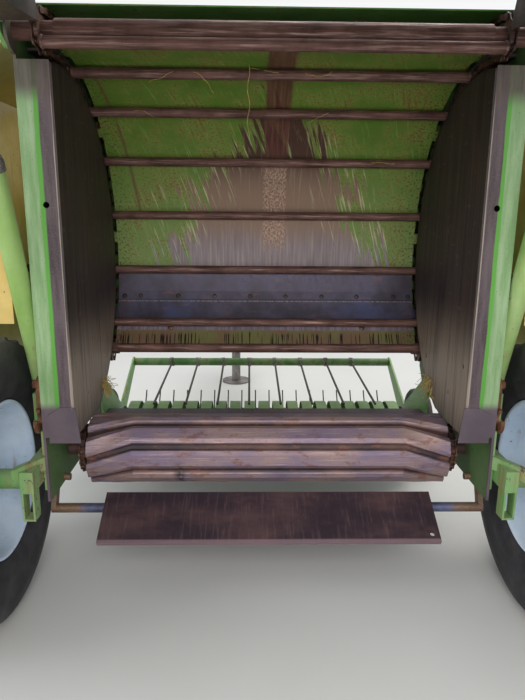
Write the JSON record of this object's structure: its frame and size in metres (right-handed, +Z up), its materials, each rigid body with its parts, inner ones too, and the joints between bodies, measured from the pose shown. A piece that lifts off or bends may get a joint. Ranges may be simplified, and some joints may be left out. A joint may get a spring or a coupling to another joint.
{
  "type": "round baler",
  "caption": "Towed round baler with a fixed bale chamber, slat conveyor, ribbed feed roller and tined pickup, shown with its tailgate raised.",
  "frame": {"origin": "on the ground under the middle of the whole machine's box, tailgate raised", "axes": "+Y towards the towing eye, the way it is towed; +X to its right; +Z up"},
  "size_m": [2.14, 4.2842, 2.2406],
  "materials": {
    "green_paint": "worn semi-gloss paint with rust",
    "bright_paint": "cleaner semi-gloss paint",
    "ochre_paint": "faded semi-gloss paint",
    "white_paint": "dusty semi-gloss paint",
    "dark_steel": "crop-polished bare steel, stained",
    "rusty_steel": "brown rust polished by the crop",
    "chrome_rod": "ground and plated",
    "cast_green": "painted casting",
    "guard_plastic": "matte, dusty",
    "tyre_rubber": "weathered",
    "hose_rubber": "satin"
  },
  "bodies": {
    "frame": {"side_wall_left": "green_paint", "side_wall_right": "green_paint", "chamber_disc_left": "dark_steel", "chamber_disc_right": "dark_steel", "front_sheet": "green_paint", "front_cover": "green_paint", "chain_guides": "dark_steel", "pivot_shaft": "dark_steel", "lower_shaft": "dark_steel", "slat_chain_front": "rusty_steel", "throat_floor": "dark_steel", "axle_left": "green_paint", "axle_right": "green_paint", "latch_hooks": "rusty_steel", "drawbar": "green_paint", "jack_sleeve": "green_paint", "gearbox": "cast_green", "pto_shaft": "guard_plastic", "drive_chain": "rusty_steel", "twine_box": "ochre_paint", "hose_left": "hose_rubber", "hose_right": "hose_rubber"},
    "feed_roller": {"feed_roller": "rusty_steel"},
    "ramp": {"ramp_bar": "dark_steel", "ramp_plate": "rusty_steel"},
    "wheel_left": {"tyre_left": "tyre_rubber", "rim_left": "white_paint"},
    "wheel_right": {"tyre_right": "tyre_rubber", "rim_right": "white_paint"},
    "tailgate": {"tailgate_side_left": "green_paint", "tailgate_side_right": "green_paint", "tailgate_sheets": "green_paint", "tailgate_beams": "green_paint", "slat_chain_rear": "rusty_steel", "tail_shaft": "dark_steel"},
    "barrel_left": {"barrel_left": "bright_paint"},
    "barrel_right": {"barrel_right": "bright_paint"},
    "rod_left": {"rod_left": "chrome_rod"},
    "rod_right": {"rod_right": "chrome_rod"},
    "pickup": {"pickup_frame": "green_paint", "strippers": "green_paint"},
    "reel": {"pickup_reel": "dark_steel"},
    "windguard": {"windguard": "green_paint"},
    "gauge_left": {"gauge_wheel_left": "tyre_rubber"},
    "gauge_right": {"gauge_wheel_right": "tyre_rubber"},
    "hood_left": {"hood_left": "ochre_paint"},
    "hood_right": {"hood_right": "ochre_paint"},
    "twine_lid": {"twine_lid": "ochre_paint"},
    "jack_leg": {"jack_leg": "dark_steel"}
  },
  "joints": [
    {"name": "wheel_spin_left", "type": "hinge", "parent": "frame", "child": "wheel_left", "pos_m": [-0.925, -0.866, 0.43], "axis": [1, 0, 0], "continuous": true},
    {"name": "wheel_spin_right", "type": "hinge", "parent": "frame", "child": "wheel_right", "pos_m": [0.925, -0.866, 0.43], "axis": [1, 0, 0], "continuous": true},
    {"name": "feed_roller_spin", "type": "hinge", "parent": "frame", "child": "feed_roller", "pos_m": [0, -0.589, 0.418], "axis": [1, 0, 0], "continuous": true},
    {"name": "tailgate_swing", "type": "hinge", "parent": "frame", "child": "tailgate", "pos_m": [0, -0.82, 1.68832], "axis": [1, 0, 0], "range_deg": [0, 85]},
    {"name": "cylinder_foot_left", "type": "hinge", "parent": "frame", "child": "barrel_left", "pos_m": [-0.735, -0.664, 0.623], "axis": [1, 0, 0], "range_deg": [0, 1.19]},
    {"name": "cylinder_stroke_left", "type": "slide", "parent": "barrel_left", "child": "rod_left", "axis": [0, -0.3551, 0.9348], "range_m": [-0.4425, 0]},
    {"name": "cylinder_foot_right", "type": "hinge", "parent": "frame", "child": "barrel_right", "pos_m": [0.735, -0.664, 0.623], "axis": [1, 0, 0], "range_deg": [0, 1.19]},
    {"name": "cylinder_stroke_right", "type": "slide", "parent": "barrel_right", "child": "rod_right", "axis": [0, -0.3551, 0.9348], "range_m": [-0.4425, 0]},
    {"name": "ramp_tilt", "type": "hinge", "parent": "frame", "child": "ramp", "pos_m": [0, -0.67, 0.345], "axis": [-1, 0, 0], "range_deg": [0, 25]},
    {"name": "pickup_lift", "type": "hinge", "parent": "frame", "child": "pickup", "pos_m": [0, -0.15, 0.52], "axis": [1, 0, 0], "range_deg": [-8, 14]},
    {"name": "reel_spin", "type": "hinge", "parent": "pickup", "child": "reel", "pos_m": [0, 0.092, 0.24], "axis": [1, 0, 0], "continuous": true},
    {"name": "windguard_lift", "type": "hinge", "parent": "pickup", "child": "windguard", "pos_m": [0, 0.534, 0.443], "axis": [-1, 0, 0], "range_deg": [0, 12]},
    {"name": "gauge_spin_left", "type": "hinge", "parent": "pickup", "child": "gauge_left", "pos_m": [-0.762, 0.22, 0.225], "axis": [1, 0, 0], "continuous": true},
    {"name": "gauge_spin_right", "type": "hinge", "parent": "pickup", "child": "gauge_right", "pos_m": [0.762, 0.22, 0.225], "axis": [1, 0, 0], "continuous": true},
    {"name": "hood_open_left", "type": "hinge", "parent": "frame", "child": "hood_left", "pos_m": [-0.752, -0.42, 1.7], "axis": [0, 1, 0], "range_deg": [0, 70]},
    {"name": "hood_open_right", "type": "hinge", "parent": "frame", "child": "hood_right", "pos_m": [0.752, -0.42, 1.7], "axis": [0, -1, 0], "range_deg": [0, 70]},
    {"name": "twine_lid_open", "type": "hinge", "parent": "frame", "child": "twine_lid", "pos_m": [0, -0.00608, 1.454], "axis": [1, 0, 0], "range_deg": [0, 100]},
    {"name": "jack_slide", "type": "slide", "parent": "frame", "child": "jack_leg", "axis": [0, 0, 1], "range_m": [0, 0.35]}
  ],
  "couplings": [
    {"joint": "cylinder_foot_left", "follows": "tailgate_swing", "ratio": 0.013773},
    {"joint": "cylinder_stroke_left", "follows": "tailgate_swing", "m_per_rad": -0.29759},
    {"joint": "cylinder_foot_right", "follows": "tailgate_swing", "ratio": 0.013773},
    {"joint": "cylinder_stroke_right", "follows": "tailgate_swing", "m_per_rad": -0.29759}
  ]
}
